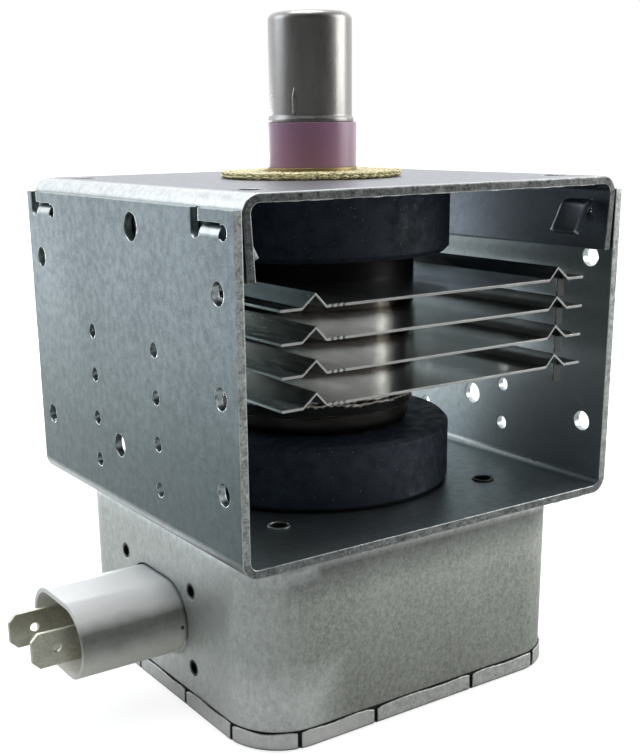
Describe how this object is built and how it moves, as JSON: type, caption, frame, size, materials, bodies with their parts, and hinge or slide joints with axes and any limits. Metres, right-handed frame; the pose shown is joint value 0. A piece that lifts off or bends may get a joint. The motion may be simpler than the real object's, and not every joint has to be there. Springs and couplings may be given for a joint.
{
  "type": "magnetron",
  "caption": "Packaged cavity magnetron: finned anode tube between ring magnets in an open yoke box, antenna on the mounting plate, filter can with heater connector below.",
  "frame": {"origin": "on the tube's axis, at the upper face of the mounting plate, which meets the waveguide", "axes": "+Z along the antenna, out of the mounting plate; -X towards the heater connector; Y along the cooling air's way through the open box"},
  "size_m": [0.1021, 0.0774, 0.1214],
  "materials": {
    "yoke_steel": "galvanised, satin",
    "ferrite": "matte",
    "anode_copper": "satin",
    "pole_steel": "satin",
    "shell_steel": "satin",
    "browned_shell": "browned by heat, satin",
    "stem_ceramic": "ceramic, matte",
    "cathode_metal": "satin",
    "antenna_ceramic": "ceramic, satin",
    "cap_steel": "satin",
    "gasket_wire": "knitted wire",
    "can_steel": "satin",
    "lid_steel": "satin",
    "connector_plastic": "satin",
    "connector_floor": "matte",
    "terminal_metal": "dull plating",
    "coil_wire": "enamelled wire",
    "fin_aluminium": "bright"
  },
  "bodies": {
    "root": {"anode_cylinder": "anode_copper", "anode_vane_1": "anode_copper", "anode_vane_10": "anode_copper", "anode_vane_2": "anode_copper", "anode_vane_3": "anode_copper", "anode_vane_4": "anode_copper", "anode_vane_5": "anode_copper", "anode_vane_6": "anode_copper", "anode_vane_7": "anode_copper", "anode_vane_8": "anode_copper", "anode_vane_9": "anode_copper", "antenna_cap": "cap_steel", "antenna_ceramic": "antenna_ceramic", "antenna_lead": "anode_copper", "bottom_magnet": "ferrite", "capacitor_block": "connector_floor", "centre_lead": "cathode_metal", "choke_coil_front": "coil_wire", "choke_coil_rear": "coil_wire", "choke_core_front": "ferrite", "choke_core_rear": "ferrite", "connector_housing": "connector_plastic", "cooling_fin_1": "fin_aluminium", "cooling_fin_2": "fin_aluminium", "cooling_fin_3": "fin_aluminium", "cooling_fin_4": "fin_aluminium", "earth_plate": "lid_steel", "exhaust_tube": "anode_copper", "filament": "cathode_metal", "filter_can": "can_steel", "filter_lid": "lid_steel", "input_shell": "browned_shell", "input_stem": "stem_ceramic", "lower_end_hat": "cathode_metal", "lower_inner_strap": "pole_steel", "lower_outer_strap": "pole_steel", "lower_pole_piece": "pole_steel", "lower_yoke": "yoke_steel", "output_shell": "shell_steel", "rf_gasket": "gasket_wire", "side_lead": "cathode_metal", "terminal_front": "terminal_metal", "terminal_rear": "terminal_metal", "top_magnet": "ferrite", "upper_end_hat": "cathode_metal", "upper_inner_strap": "pole_steel", "upper_outer_strap": "pole_steel", "upper_pole_piece": "pole_steel", "upper_yoke": "yoke_steel"}
  },
  "joints": []
}
